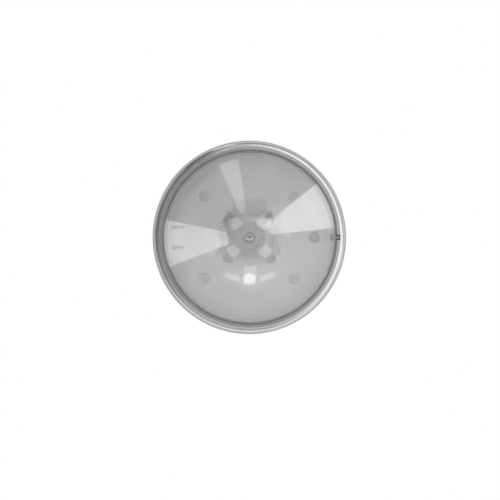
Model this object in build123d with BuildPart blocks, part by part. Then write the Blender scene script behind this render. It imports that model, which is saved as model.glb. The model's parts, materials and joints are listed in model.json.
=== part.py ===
from build123d import *
import os
from math import asin, cos, degrees, radians, sin, sqrt, tan

# Ceiling presence detector with a two-pole bus terminal. Millimetres, +Z up into the ceiling,
# the lens hangs down. The origin is the centre of the face that lies on the ceiling.

# Overall sizes
flange_r = 55.0
plate_r = 51.7
lens_tip_z = -41.7
post_top_z = 15.5

# Ceiling ring
plate_t = 1.6
skirt_foot_z = -3.35
skirt_lip_z = -4.25
skirt_wall = 1.0
skirt_run = 1.55
skirt_lip_round = 0.2
land_r = 18.0
land_t = 1.2
well_r = 22.4
well_wall = 1.2
screw_pitch = 60.0
slot_width = 3.8
slot_length = 8.0
plate_rib_count = 12
plate_rib_mid_r = 39.0
plate_rib_length = 18.0
plate_rib_width = 1.2
plate_rib_height = 0.8

# Bayonet between the ring and the head
lug_count = 3
first_lug_angle = 90.0
unlock_angle = 20.0
lug_half = 3.0
lug_reach = 21.9
lug_t = 1.2
lug_root = 0.6
lug_gap = 0.1
notch_mid_r = 20.0
notch_depth = 4.6
notch_play = 0.4
stop_gap = 0.35
stop_width = 1.2
stop_mid_r = 20.6
stop_length = 3.8

# Base housing
rim_r = 54.2
rim_top_z = -4.4
rim_foot_z = -6.7
rim_inner_r = 53.0
floor_top_z = -4.8
floor_t = 1.4
floor_foot_z = floor_top_z - floor_t
spigot_r = 51.8
spigot_wall = 1.2
spigot_foot_z = -9.2
collar_r = 17.5
collar_top_z = -0.2
collar_t = 1.2
join = 0.2

# Terminal socket, its guide walls and the two posts
terminal_half = 5.95
terminal_depth = 11.0
terminal_foot_z = -5.6
terminal_top_z = 5.43
socket_play = 0.2
socket_floor_t = 1.2
socket_wall = 1.4
plinth_half = 8.0
plinth_top_z = 2.46
guide_half = 9.5
guide_top_z = 5.4
guide_inset = 0.5
guide_shoulder = 1.2
pin_hole_play = 0.1
post_x = 12.0
post_foot = 5.3
post_head = 4.7
post_chamfer = 1.2

# Cover ring
ring_top_z = -6.85
ring_top_r = 54.15
ring_corner_r = 54.1
ring_corner_round = 2.3
ring_mouth_r = 48.95
ring_mouth_z = -12.4
ring_slope = 23.5
ring_wall = 1.3
ring_root_r = 52.2
ring_step_r = 52.75
ring_step = 0.5
ring_lip_inner_r = 53.2
bead_r = 50.75
bead_radius = 0.65
bead_sink = 0.38
lip_r = 50.15
lip_z = -12.15

# Lens: tip arc, shoulder arc, straight cone and flare, each tangent to the next
lens_wall = 1.2
tip_radius = 26.0
tip_angle = 33.0
shoulder_radius = 90.0
cone_angle = 38.8
cone_end_r = 36.0
neck_r = 48.65
flare_end_angle = 26.0
lens_flange_r = 51.3
lens_flange_z = -9.35
lens_seat_gap = 0.1
key_tab_width = 1.8
key_tab_start_r = 48.35
key_tab_end_r = 50.95
key_slot_width = 3.0
key_slot_length = 4.0
key_slot_end_r = 51.3

# Inner cover and its screws
cover_face_z = -12.9
cover_wall = 1.2
cover_flat_r = 44.6
cover_rim_r = 47.2
cover_rim_z = -11.5
cover_gap = 0.15
cover_edge = 0.5
carrier_hole_inset = 4.0
screw_x = 25.1
screw_y = 23.0
screw_r = 1.25
screw_play = 0.35
screw_length = 5.6
screw_bite = 0.05
screw_hole_depth = 5.0
screw_head_r = 2.9
screw_head_t = 1.7
screw_head_round = 0.9
cross_length = 3.2
cross_width = 0.8
cross_depth = 1.1
boss_r = 3.0
boss_foot_r = 4.2

# Dark catch in a notch of the inner cover's rim, in line with the cover ring's key
latch_half = 1.9
latch_inner_r = 44.9
latch_top_z = -9.5

# Circuit board
board_r = 44.0
board_top_z = -7.8
board_t = 1.6
board_foot_z = board_top_z - board_t
pin_pitch = 5.75
pin_r = 0.5

# Programming key and status window
key_x = -39.9
key_length = 7.0
key_width = 9.6
key_slit = 1.8
key_play = 0.1
key_stand = 0.2
key_round = 0.3
key_flange_shift = 0.45
key_flange_more = 1.6
key_flange_less = 2.4
key_flange_gap = 0.1
key_flange_t = 0.6
switch_half = 2.25
switch_height = 0.9
plunger_r = 1.0
plunger_play = 0.1
plunger_depth = 0.75
status_x = 36.5
status_r = 3.0
window_stand = 0.8
window_round = 0.7
window_play = 0.1
window_flange = 0.8
window_flange_t = 0.7

# Indicator beside the sensor carrier: white diffuser over a small diode
diffuser_x = 0.2
diffuser_y = 23.6
diffuser_width = 6.4
diffuser_depth = 4.1
diffuser_foot_z = -21.0
diffuser_bevel = 1.6
diffuser_round = 0.3
reflector_inner_r = 21.8
reflector_outer_r = 25.8
reflector_half_angle = 34.0
reflector_gap = 11.6
reflector_plate_y = 18.5
reflector_plate_depth = 5.8
reflector_t = 1.0

# Sensor carrier and the four sensors
carrier_x = 28.2
carrier_y = 27.4
sensor_x = 8.2
sensor_y = 7.6
sensor_z = -22.0
sensor_tilt = 28.0
can_r = 4.55
can_h = 4.1
can_flange_r = 4.9
can_flange_t = 0.5
can_round = 0.5
can_play = 0.1
collar_wall = 1.3
collar_sink = 0.6
collar_step = 0.4
carrier_foot_t = 4.2
carrier_slope = 38.0
carrier_slope_t = 3.4
carrier_round = 5.0
carrier_wall = 1.5
carrier_hollow = 3.0
cap_x = 11.4
cap_y = 10.8
cap_r = 3.0
cap_top_z = -16.4
cap_foot_z = -19.0
cap_round = 0.6
shade_t = 0.8
shade_tongue_x = 0.3
shade_tongue_width = 19.4
shade_tongue_reach = 20.8
shade_side_y = 1.7
shade_side_width = 15.4
shade_side_reach = 16.6
arm_width = 7.0
arm_top_z = -16.0
arm_shoulder_z = -18.6
arm_flat = 3.4
arm_foot_z = -24.4
guide_r = 2.1
guide_bore_r = 1.5
guide_foot_z = -24.9
guide_gap = 1.0
guide_recess_r = 3.3
guide_recess_z = -21.2
guide_round = 0.25
sensor_board_top_z = -13.6
sensor_board_t = 1.2
sensor_board_inset = 3.6
window_x = 5.6
window_y = 5.4
window_pocket = 0.5
window_t = 0.4
lead_circle_r = 2.54
lead_r = 0.225
lead_length = 6.0
header_y = 8.0
header_pitch = 2.54
header_pins = 5

os.makedirs("parts", exist_ok=True)


def save(piece, name):
    piece.part.label = name
    export_step(piece.part, f"parts/{name}.step")


def ring_cone_z(r):
    return ring_mouth_z + (r - ring_mouth_r) * tan(radians(ring_slope))


# A point of the lens wall, where the outer face has the given slope, sunk into the wall by depth.
def wall_point(r, z, slope, depth):
    return (r - depth * sin(radians(slope)), z + depth * cos(radians(slope)))


def arc_step(r, z, radius, start, end):
    rise = radius * (cos(radians(start)) - cos(radians(end)))
    run = radius * (sin(radians(end)) - sin(radians(start)))
    return (r + run, z + rise)


cone_start = arc_step(
    *arc_step(0, lens_tip_z, tip_radius, 0, tip_angle), shoulder_radius, tip_angle, cone_angle
)
cone_end = (cone_end_r, cone_start[1] + (cone_end_r - cone_start[0]) * tan(radians(cone_angle)))
flare_radius = (neck_r - cone_end_r) / (sin(radians(cone_angle)) - sin(radians(flare_end_angle)))


# Both faces of the lens are drawn by this outline, from the tip to the flare's end.
def lens_outline(depth, flare_end):
    tip_mid = arc_step(0, lens_tip_z, tip_radius, 0, tip_angle / 2)
    tip_end = arc_step(0, lens_tip_z, tip_radius, 0, tip_angle)
    shoulder_angle = (tip_angle + cone_angle) / 2
    shoulder_mid = arc_step(*tip_end, shoulder_radius, tip_angle, shoulder_angle)
    flare_angle = (cone_angle + flare_end) / 2
    flare_mid = arc_step(*cone_end, -flare_radius, cone_angle, flare_angle)
    flare_stop = arc_step(*cone_end, -flare_radius, cone_angle, flare_end)
    ThreePointArc(
        wall_point(0, lens_tip_z, 0, depth),
        wall_point(*tip_mid, tip_angle / 2, depth),
        wall_point(*tip_end, tip_angle, depth),
    )
    ThreePointArc(
        wall_point(*tip_end, tip_angle, depth),
        wall_point(*shoulder_mid, shoulder_angle, depth),
        wall_point(*cone_start, cone_angle, depth),
    )
    Line(wall_point(*cone_start, cone_angle, depth), wall_point(*cone_end, cone_angle, depth))
    ThreePointArc(
        wall_point(*cone_end, cone_angle, depth),
        wall_point(*flare_mid, flare_angle, depth),
        wall_point(*flare_stop, flare_end, depth),
    )
    return wall_point(*flare_stop, flare_end, depth)


# Ceiling ring: flat plate with a flared skirt and a sunk bayonet land round the middle opening
skirt_inner_r = flange_r - skirt_wall
with BuildPart() as mounting_ring:
    with BuildSketch(Plane.XZ):
        with BuildLine():
            Polyline(
                (well_r, 0),
                (plate_r, 0),
                (flange_r, skirt_foot_z),
                (flange_r, skirt_lip_z),
                (skirt_inner_r, skirt_lip_z),
                (skirt_inner_r, plate_r - skirt_run - skirt_inner_r),
                (plate_r - skirt_run + plate_t, -plate_t),
                (well_r + well_wall, -plate_t),
                (well_r + well_wall, -plate_t - land_t),
                (land_r, -plate_t - land_t),
                (land_r, -plate_t),
                (well_r, -plate_t),
                close=True,
            )
        make_face()
    revolve(axis=Axis.Z)
    lip_edges = mounting_ring.edges().group_by(Axis.Z)[0]
    fillet(lip_edges, skirt_lip_round)
    with BuildSketch(Plane.XY):
        with Locations((screw_pitch / 2, 0), (-screw_pitch / 2, 0)):
            SlotOverall(slot_length, slot_width)
        with Locations((0, screw_pitch / 2), (0, -screw_pitch / 2)):
            SlotOverall(slot_length, slot_width, rotation=90)
    extrude(amount=-plate_t, mode=Mode.SUBTRACT)
    with BuildSketch(Plane.XY.offset(-plate_t)):
        notch_angle = first_lug_angle - unlock_angle
        with PolarLocations(0, lug_count, start_angle=notch_angle):
            with Locations((notch_mid_r, 0)):
                Rectangle(notch_depth, 2 * (lug_half + notch_play))
    extrude(amount=-land_t, mode=Mode.SUBTRACT)
    with BuildSketch(Plane.XY.offset(-plate_t)):
        with PolarLocations(0, lug_count, start_angle=first_lug_angle):
            with Locations((stop_mid_r, lug_half + stop_gap + stop_width / 2)):
                Rectangle(stop_length, stop_width)
    extrude(amount=lug_t)
    with PolarLocations(0, plate_rib_count, start_angle=180 / plate_rib_count):
        with Locations((plate_rib_mid_r, 0, -plate_t - plate_rib_height / 2)):
            Box(plate_rib_length, plate_rib_width, plate_rib_height)
save(mounting_ring, "mounting_ring")

# Base housing: rim band, floor, spigot for the cover ring, raised collar, socket and posts
socket_x = terminal_half + socket_play
socket_y = terminal_depth / 2 + socket_play
socket_floor_z = terminal_foot_z - 0.1
with BuildPart() as base_housing:
    with BuildSketch(Plane.XZ):
        with BuildLine():
            Polyline(
                (0, collar_top_z),
                (collar_r, collar_top_z),
                (collar_r, floor_top_z),
                (rim_inner_r, floor_top_z),
                (rim_inner_r, rim_top_z),
                (rim_r, rim_top_z),
                (rim_r, rim_foot_z),
                (rim_inner_r, rim_foot_z),
                (rim_inner_r, floor_foot_z),
                (spigot_r, floor_foot_z),
                (spigot_r, spigot_foot_z),
                (spigot_r - spigot_wall, spigot_foot_z),
                (spigot_r - spigot_wall, floor_foot_z),
                (collar_r - collar_t, floor_foot_z),
                (collar_r - collar_t, collar_top_z - collar_t),
                (0, collar_top_z - collar_t),
                close=True,
            )
        make_face()
    revolve(axis=Axis.Z)
    with BuildSketch(Plane.XY.offset(-plate_t + lug_gap)):
        with PolarLocations(0, lug_count, start_angle=first_lug_angle):
            with Locations(((collar_r - lug_root + lug_reach) / 2, 0)):
                Rectangle(lug_reach - collar_r + lug_root, 2 * lug_half)
    extrude(amount=lug_t)
    with BuildSketch(Plane.XY.offset(collar_top_z)):
        Rectangle(2 * (socket_x + socket_wall), 2 * (socket_y + socket_wall))
    extrude(amount=socket_floor_z - socket_floor_t - collar_top_z)
    with BuildSketch(Plane.XY.offset(collar_top_z - join)):
        Rectangle(2 * plinth_half, 2 * (socket_y + socket_wall))
    extrude(amount=plinth_top_z - collar_top_z + join)
    with BuildSketch(Plane.XZ.offset(-socket_y)):
        for side in (-1, 1):
            with BuildLine():
                Polyline(
                    (side * (socket_x - guide_inset), collar_top_z - join),
                    (side * guide_half, collar_top_z - join),
                    (side * guide_half, guide_top_z - guide_shoulder),
                    (side * (guide_half - guide_inset), guide_top_z - guide_shoulder / 6),
                    (side * (socket_x - guide_inset), guide_top_z),
                    close=True,
                )
            make_face()
    extrude(amount=2 * socket_y)
    with BuildSketch(Plane.XY.offset(post_top_z)):
        with Locations((post_x, 0), (-post_x, 0)):
            post_section = Rectangle(post_head, post_head)
        chamfer(post_section.vertices(), post_chamfer)
    post_height = post_top_z - collar_top_z + join
    post_taper = degrees(asin((post_foot - post_head) / 2 / post_height))
    extrude(amount=-post_height, taper=-post_taper)
    with BuildSketch(Plane.XY.offset(terminal_top_z + 1)):
        Rectangle(2 * socket_x, 2 * socket_y)
    extrude(amount=socket_floor_z - terminal_top_z - 1, mode=Mode.SUBTRACT)
    with BuildSketch(Plane.XY.offset(socket_floor_z)):
        with GridLocations(pin_pitch, 0, 2, 1):
            Circle(pin_r + pin_hole_play)
    extrude(amount=-socket_floor_t, mode=Mode.SUBTRACT)
    with BuildSketch(Plane.XY.offset(floor_foot_z)):
        with GridLocations(2 * screw_x, 2 * screw_y, 2, 2):
            Circle(boss_foot_r)
    extrude(amount=board_top_z - floor_foot_z)
    with BuildSketch(Plane.XY.offset(floor_foot_z)):
        with GridLocations(2 * screw_x, 2 * screw_y, 2, 2):
            Circle(boss_r)
    extrude(amount=cover_face_z + cover_wall - floor_foot_z)
    with BuildSketch(Plane.XY.offset(cover_face_z + cover_wall)):
        with GridLocations(2 * screw_x, 2 * screw_y, 2, 2):
            Circle(screw_r + screw_bite)
    extrude(amount=screw_hole_depth, mode=Mode.SUBTRACT)
save(base_housing, "base_housing")

# Cover ring: band, well rounded corner, conical face, bead, flat lip, and the key slot at +X
with BuildPart() as cover_ring:
    with BuildSketch(Plane.XZ):
        with BuildLine():
            Polyline(
                (ring_top_r, ring_top_z),
                (ring_corner_r, ring_cone_z(ring_corner_r)),
                (lip_r, ring_cone_z(lip_r)),
                (lip_r, lip_z),
                (ring_mouth_r, lip_z),
                (ring_mouth_r, ring_mouth_z + ring_wall),
                (ring_root_r, ring_cone_z(ring_root_r) + ring_wall),
                (ring_step_r, ring_cone_z(ring_root_r) + ring_wall + ring_step),
                (ring_lip_inner_r, ring_top_z),
                close=True,
            )
        ring_face = make_face()
        corner = ring_face.vertices().sort_by(Axis.X)[-2]
        fillet(corner, ring_corner_round)
        with Locations((bead_r, ring_cone_z(bead_r) + bead_sink)):
            Circle(bead_radius)
    revolve(axis=Axis.Z)
    with BuildSketch(Plane.XY.offset(ring_mouth_z - ring_wall)):
        with Locations((key_slot_end_r - key_slot_length / 2, 0)):
            Rectangle(key_slot_length, key_slot_width)
    extrude(amount=3 * ring_wall, mode=Mode.SUBTRACT)
save(cover_ring, "cover_ring")

# Lens: one translucent bowl with a neck and a flange held behind the cover ring
neck_inner_r = neck_r - lens_wall
flare_centre_r = cone_end_r + flare_radius * sin(radians(cone_angle))
inner_flare_end = degrees(asin((flare_centre_r - neck_inner_r) / (flare_radius + lens_wall)))
with BuildPart() as lens:
    with BuildSketch(Plane.XZ):
        with BuildLine():
            outer_end = lens_outline(0, flare_end_angle)
            inner_end = lens_outline(lens_wall, inner_flare_end)
            Polyline(
                outer_end,
                (neck_r, ring_cone_z(neck_r) + ring_wall + lens_seat_gap),
                (lens_flange_r, ring_cone_z(lens_flange_r) + ring_wall + lens_seat_gap),
                (lens_flange_r, lens_flange_z),
                (neck_inner_r, lens_flange_z),
                inner_end,
            )
            Line((0, lens_tip_z), (0, lens_tip_z + lens_wall))
        make_face()
    revolve(axis=Axis.Z)
    with BuildSketch(Plane.XZ.offset(-key_tab_width / 2)):
        with BuildLine():
            Polyline(
                (key_tab_start_r, lens_flange_z - join),
                (key_tab_end_r, lens_flange_z - join),
                (key_tab_end_r, ring_cone_z(key_tab_end_r)),
                (lip_r, lip_z),
                (key_tab_start_r, lip_z),
                close=True,
            )
        make_face()
    extrude(amount=key_tab_width)
save(lens, "lens")

# Inner cover: shallow dish that closes the head behind the lens
key_hole_y = key_width + 2 * key_slit
rim_slope = (cover_rim_z - cover_face_z) / (cover_rim_r - cover_flat_r)


def rim_slope_z(r):
    return cover_face_z + (r - cover_flat_r) * rim_slope


with BuildPart() as inner_cover:
    with BuildSketch(Plane.XZ):
        with BuildLine():
            Polyline(
                (0, cover_face_z),
                (cover_flat_r, cover_face_z),
                (cover_rim_r, cover_rim_z),
                (cover_rim_r, floor_foot_z - cover_gap),
                (cover_rim_r - cover_wall, floor_foot_z - cover_gap),
                (cover_rim_r - cover_wall, cover_rim_z + cover_edge),
                (cover_flat_r - cover_edge, cover_face_z + cover_wall),
                (0, cover_face_z + cover_wall),
                close=True,
            )
        make_face()
    revolve(axis=Axis.Z)
    with BuildSketch(Plane.XY.offset(cover_face_z)):
        RectangleRounded(carrier_x - carrier_hole_inset, carrier_y - carrier_hole_inset, 3)
        with Locations((key_x, 0)):
            Rectangle(key_length + key_play, key_hole_y)
        with Locations((status_x, 0)):
            Circle(status_r + window_play)
        with Locations((diffuser_x, diffuser_y)):
            Rectangle(diffuser_width + 2 * window_play, diffuser_depth + 2 * window_play)
        with GridLocations(2 * screw_x, 2 * screw_y, 2, 2):
            Circle(screw_r + screw_play)
    extrude(amount=cover_wall + cover_edge, mode=Mode.SUBTRACT)
    notch_outline = [
        (latch_inner_r, cover_face_z),
        (cover_rim_r + join, cover_face_z),
        (cover_rim_r + join, latch_top_z),
        (latch_inner_r, latch_top_z),
    ]
    with BuildSketch(Plane.XZ.offset(-latch_half)):
        with BuildLine():
            Polyline(*notch_outline, close=True)
        make_face()
    extrude(amount=2 * latch_half, mode=Mode.SUBTRACT)
save(inner_cover, "inner_cover")

# Catch that fills the notch in the rim: a short piece of a turned profile
with BuildPart() as cover_latch:
    with BuildSketch(Plane.XZ):
        with BuildLine():
            Polyline(
                (latch_inner_r, rim_slope_z(latch_inner_r)),
                (cover_rim_r, cover_rim_z),
                (cover_rim_r, latch_top_z),
                (latch_inner_r, latch_top_z),
                close=True,
            )
        make_face()
    revolve(axis=Axis.Z)
    with Locations((latch_inner_r, 0, cover_rim_z)):
        Box(
            2 * latch_half,
            2 * latch_half,
            4 * latch_half,
            align=(Align.MIN, Align.CENTER, Align.CENTER),
            mode=Mode.INTERSECT,
        )
save(cover_latch, "cover_latch")

# Four screws with domed heads and cross recesses
with BuildPart() as cover_screws:
    with BuildSketch(Plane.XY.offset(cover_face_z)):
        with GridLocations(2 * screw_x, 2 * screw_y, 2, 2):
            Circle(screw_head_r)
    extrude(amount=-screw_head_t)
    fillet(cover_screws.edges().group_by(Axis.Z)[0], screw_head_round)
    with BuildSketch(Plane.XY.offset(cover_face_z)):
        with GridLocations(2 * screw_x, 2 * screw_y, 2, 2):
            Circle(screw_r)
    extrude(amount=screw_length)
    with BuildSketch(Plane.XY.offset(cover_face_z - screw_head_t)):
        with GridLocations(2 * screw_x, 2 * screw_y, 2, 2):
            Rectangle(cross_length, cross_width)
            Rectangle(cross_width, cross_length)
    extrude(amount=cross_depth, mode=Mode.SUBTRACT)
save(cover_screws, "cover_screws")

# Main circuit board
with BuildPart() as main_board:
    with BuildSketch(Plane.XY.offset(board_foot_z)):
        Circle(board_r)
        with GridLocations(2 * screw_x, 2 * screw_y, 2, 2):
            Circle(boss_r + 0.2, mode=Mode.SUBTRACT)
        with GridLocations(pin_pitch, 0, 2, 1):
            Circle(pin_r + 0.05, mode=Mode.SUBTRACT)
    extrude(amount=board_t)
save(main_board, "main_board")


# Parts on the upper side of the board: name, width, depth, height, places
board_top_parts = [
    ("microcontroller", 7.0, 7.0, 0.9, [(28.0, 6.0)]),
    ("bus_transceiver", 6.0, 6.0, 0.9, [(0.0, -26.0)]),
    ("memory_chip", 5.0, 4.0, 1.1, [(36.0, -8.0)]),
    ("crystal", 5.0, 3.2, 1.0, [(28.0, -2.5)]),
    ("storage_inductor", 7.6, 5.8, 3.4, [(0.0, -11.3)]),
]
for name, width, depth, height, places in board_top_parts:
    with BuildPart() as chip:
        with BuildSketch(Plane.XY.offset(board_top_z)):
            with Locations(*places):
                Rectangle(width, depth)
        extrude(amount=height)
        chamfer(chip.edges().group_by(Axis.Z)[-1], 0.2)
    save(chip, name)

# Two electrolytic capacitors under the raised collar
capacitor_r = 3.15
capacitor_x = 4.2
capacitor_y = 11.4
capacitor_height = 5.4
capacitor_round = 0.4
with BuildPart() as buffer_capacitors:
    with BuildSketch(Plane.XY.offset(board_top_z)):
        with Locations((capacitor_x, capacitor_y), (-capacitor_x, capacitor_y)):
            Circle(capacitor_r)
    extrude(amount=capacitor_height)
    fillet(buffer_capacitors.edges().group_by(Axis.Z)[-1], capacitor_round)
save(buffer_capacitors, "buffer_capacitors")

# Chip resistors and capacitors on the upper side, in short rows
chip_rows = [(-24.0, 3.0), (12.0, -26.0), (-12.0, -27.0), (36.0, 8.0)]
chip_length = 1.6
chip_width = 0.8
chip_pitch_x = 2.8
chip_pitch_y = 2.0
with BuildPart() as chip_parts:
    with BuildSketch(Plane.XY.offset(board_top_z)):
        with Locations(*chip_rows):
            with GridLocations(chip_pitch_x, chip_pitch_y, 2, 4):
                Rectangle(chip_length, chip_width)
    extrude(amount=chip_width)
save(chip_parts, "chip_parts")

# Header body and the two round pins that carry the bus terminal
pin_header_length = 9.4
pin_header_width = 2.8
pin_header_height = 0.8
pin_foot = 0.6
pin_top_z = -1.0
pin_bevel = 0.2
with BuildPart() as pin_header:
    with BuildSketch(Plane.XY.offset(board_top_z)):
        Rectangle(pin_header_length, pin_header_width)
        with GridLocations(pin_pitch, 0, 2, 1):
            Circle(pin_r, mode=Mode.SUBTRACT)
    extrude(amount=pin_header_height)
save(pin_header, "pin_header")

with BuildPart() as bus_pins:
    with BuildSketch(Plane.XY.offset(board_foot_z - pin_foot)):
        with GridLocations(pin_pitch, 0, 2, 1):
            Circle(pin_r)
    extrude(amount=pin_top_z - board_foot_z + pin_foot)
    chamfer(bus_pins.edges().group_by(Axis.Z)[-1], pin_bevel)
save(bus_pins, "bus_pins")

# Bus terminal: two halves side by side, each with four wire entries and a spring clamp
wire_count = 4
wire_pitch = 2.4
wire_r = 0.6
wire_funnel = 0.3
cavity_width = 4.6
cavity_length = 9.8
cavity_top_z = -0.6
cavity_foot_z = -4.2
half_gap = 0.05
half_width = terminal_half - half_gap
half_corner = 0.5
half_edge = 0.3
pin_socket_r = pin_r + 0.08
clamp_width = 4.2
clamp_length = 9.4
clamp_floor_t = 0.4
clamp_wall = 0.3
clamp_height = 2.9
leaf_width = 3.8
leaf_t = 0.25
leaf_offset = 0.85
for name, side in (("black", -1), ("red", 1)):
    centre_x = side * (half_gap + half_width / 2)
    with BuildPart() as terminal_half_block:
        with BuildSketch(Plane.XY.offset(terminal_foot_z)):
            with Locations((centre_x, 0)):
                Rectangle(half_width, terminal_depth)
        extrude(amount=terminal_top_z - terminal_foot_z)
        fillet(terminal_half_block.edges().filter_by(Axis.Z), half_corner)
        fillet(terminal_half_block.edges().group_by(Axis.Z)[-1], half_edge)
        with BuildSketch(Plane.XY.offset(cavity_foot_z)):
            with Locations((centre_x, 0)):
                Rectangle(cavity_width, cavity_length)
        extrude(amount=cavity_top_z - cavity_foot_z, mode=Mode.SUBTRACT)
        with BuildSketch(Plane.XY.offset(terminal_top_z)):
            with Locations((centre_x, 0)):
                with GridLocations(0, wire_pitch, 1, wire_count):
                    Circle(wire_r)
        extrude(amount=cavity_top_z - terminal_top_z, mode=Mode.SUBTRACT)
        with BuildSketch(Plane.XY.offset(terminal_top_z)):
            with Locations((centre_x, 0)):
                with GridLocations(0, wire_pitch, 1, wire_count):
                    Circle(wire_r + wire_funnel)
        extrude(amount=-wire_funnel, taper=45, mode=Mode.SUBTRACT)
        with BuildSketch(Plane.XY.offset(terminal_foot_z)):
            with Locations((side * pin_pitch / 2, 0)):
                Circle(pin_socket_r)
        extrude(amount=cavity_foot_z - terminal_foot_z, mode=Mode.SUBTRACT)
    save(terminal_half_block, f"terminal_{name}")

    wall_x = (clamp_width - clamp_wall) / 2
    with BuildPart() as clamp:
        with BuildSketch(Plane.XY.offset(cavity_foot_z + 0.1)):
            with Locations((centre_x, 0)):
                Rectangle(clamp_width, clamp_length)
        extrude(amount=clamp_floor_t)
        with BuildSketch(Plane.XY.offset(cavity_foot_z + 0.1 + clamp_floor_t / 2)):
            with Locations((centre_x - wall_x, 0), (centre_x + wall_x, 0)):
                Rectangle(clamp_wall, clamp_length)
            with Locations((centre_x, 0)):
                with GridLocations(0, wire_pitch, 1, wire_count):
                    with Locations((0, leaf_offset)):
                        Rectangle(leaf_width, leaf_t)
        extrude(amount=clamp_height)
        with BuildSketch(Plane.XY.offset(cavity_foot_z)):
            with Locations((side * pin_pitch / 2, 0)):
                Circle(pin_socket_r)
        extrude(amount=cavity_top_z - cavity_foot_z, mode=Mode.SUBTRACT)
    save(clamp, f"clamp_{name}")

# Programming key in its opening, the small switch behind it and the plunger between them
cover_back_z = cover_face_z + cover_wall
key_back_z = cover_back_z + key_flange_gap + key_flange_t
with BuildPart() as programming_key:
    with BuildSketch(Plane.XY.offset(cover_face_z - key_stand)):
        with Locations((key_x, 0)):
            Rectangle(key_length, key_width)
    extrude(amount=cover_wall + key_stand + key_flange_gap)
    fillet(programming_key.edges().group_by(Axis.Z)[0], key_round)
    with BuildSketch(Plane.XY.offset(cover_back_z + key_flange_gap)):
        with Locations((key_x + key_flange_shift, 0)):
            Rectangle(key_length + key_flange_more, key_width - key_flange_less)
    extrude(amount=key_flange_t)
save(programming_key, "programming_key")

switch_x = key_x + 0.5
switch_foot_z = board_foot_z - switch_height
with BuildPart() as key_switch:
    with BuildSketch(Plane.XY.offset(board_foot_z)):
        with Locations((switch_x, 0)):
            Rectangle(2 * switch_half, 2 * switch_half)
    extrude(amount=-switch_height)
    with BuildSketch(Plane.XY.offset(switch_foot_z)):
        with Locations((switch_x, 0)):
            Circle(plunger_r + plunger_play)
    extrude(amount=plunger_depth, mode=Mode.SUBTRACT)
save(key_switch, "key_switch")

with BuildPart() as switch_plunger:
    with BuildSketch(Plane.XY.offset(key_back_z)):
        with Locations((switch_x, 0)):
            Circle(plunger_r)
    extrude(amount=switch_foot_z + plunger_play - key_back_z)
save(switch_plunger, "switch_plunger")

# Light-emitting diodes on the lower side of the board: name, width, depth, height, place
diodes = [
    ("programming_led", 1.6, 0.8, 0.8, (key_x + 1.0, 4.2)),
    ("status_led", 3.2, 2.8, 1.1, (status_x, 0)),
    ("indicator_led", 3.2, 2.8, 1.1, (diffuser_x, diffuser_y)),
]
for name, width, depth, height, place in diodes:
    with BuildPart() as diode:
        with BuildSketch(Plane.XY.offset(board_foot_z)):
            with Locations(place):
                Rectangle(width, depth)
        extrude(amount=-height)
    save(diode, name)

# Clear window in front of the status light, with a flange inside the cover
with BuildPart() as status_window:
    with BuildSketch(Plane.XY.offset(cover_face_z - window_stand)):
        with Locations((status_x, 0)):
            Circle(status_r)
    extrude(amount=cover_wall + window_stand + join)
    fillet(status_window.edges().group_by(Axis.Z)[0], window_round)
    with BuildSketch(Plane.XY.offset(cover_back_z)):
        with Locations((status_x, 0)):
            Circle(status_r + window_flange)
    extrude(amount=window_flange_t)
save(status_window, "status_window")

# White diffuser of the indicator, with a bevelled foot and a flange inside the cover
with BuildPart() as indicator_diffuser:
    with BuildSketch(Plane.XY.offset(diffuser_foot_z)):
        with Locations((diffuser_x, diffuser_y)):
            Rectangle(diffuser_width, diffuser_depth)
    extrude(amount=cover_back_z + join - diffuser_foot_z)
    far_edge = indicator_diffuser.edges().group_by(Axis.Z)[0].sort_by(Axis.Y)[-1]
    chamfer(far_edge, diffuser_bevel)
    fillet(indicator_diffuser.edges().filter_by(Axis.Z), diffuser_round)
    with BuildSketch(Plane.XY.offset(cover_back_z)):
        with Locations((diffuser_x, diffuser_y)):
            Rectangle(diffuser_width + 2 * window_flange, diffuser_depth + 2 * window_flange)
    extrude(amount=window_flange_t)
save(indicator_diffuser, "indicator_diffuser")

# White reflector on the inner cover: a plate before the diffuser and a strip on each side of it
with BuildPart() as indicator_reflector:
    with BuildSketch(Plane.XY.offset(cover_face_z)):
        Circle(reflector_outer_r)
        Circle(reflector_inner_r, mode=Mode.SUBTRACT)
        wedge_reach = 2 * reflector_outer_r
        wedge_half = wedge_reach * tan(radians(reflector_half_angle))
        with BuildLine():
            Polyline((0, 0), (wedge_half, wedge_reach), (-wedge_half, wedge_reach), close=True)
        make_face(mode=Mode.INTERSECT)
        with Locations((diffuser_x, diffuser_y)):
            Rectangle(reflector_gap, 3 * diffuser_depth, mode=Mode.SUBTRACT)
        with Locations((diffuser_x, reflector_plate_y)):
            Rectangle(diffuser_width, reflector_plate_depth)
    extrude(amount=-reflector_t)
save(indicator_reflector, "indicator_reflector")

# Sensor carrier: tapered foot, cross ribs and four tilted collars
tilt_run = sin(radians(sensor_tilt)) / sqrt(2)
tilt_drop = cos(radians(sensor_tilt))
can_length = can_flange_t + can_h


# The seat plane of a sensor: its origin is the can's foot and its Z axis looks out of the can.
def seat_plane(side_x, side_y, lift):
    look = (side_x * tilt_run, side_y * tilt_run, -tilt_drop)
    reach = lift - can_length
    return Plane(
        origin=(
            side_x * (sensor_x + reach * tilt_run),
            side_y * (sensor_y + reach * tilt_run),
            sensor_z - reach * tilt_drop,
        ),
        x_dir=(-side_y, side_x, 0),
        z_dir=look,
    )


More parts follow.
